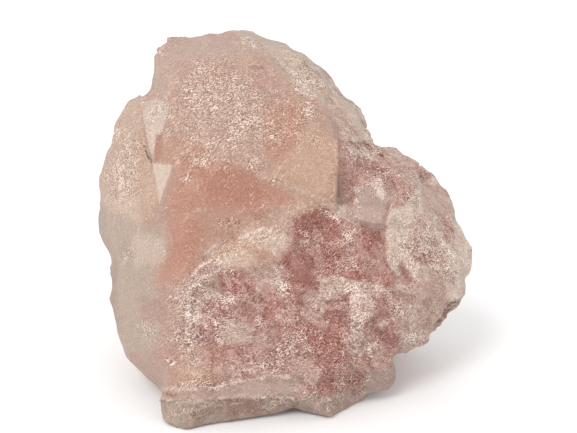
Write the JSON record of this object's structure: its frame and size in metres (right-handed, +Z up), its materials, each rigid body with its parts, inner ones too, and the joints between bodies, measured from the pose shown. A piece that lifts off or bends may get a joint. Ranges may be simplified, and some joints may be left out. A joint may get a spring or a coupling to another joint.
{
  "type": "rose quartz chunk",
  "caption": "Rough, freshly broken chunk of milky pink rose quartz, standing on its flattest side with its broad face forward.",
  "frame": {"origin": "middle of the stone's box, at the ground it stands on", "axes": "+Z up, +X to the viewer's right along the longest side, -Y towards the viewer, out of the broad face"},
  "size_m": [0.1304, 0.0942, 0.1165],
  "materials": {
    "rose_quartz": "milky translucent pink quartz, glassy on the large conchoidal faces and sugary on the broken ones"
  },
  "bodies": {
    "root": {"quartz_chunk": "rose_quartz"}
  },
  "joints": []
}
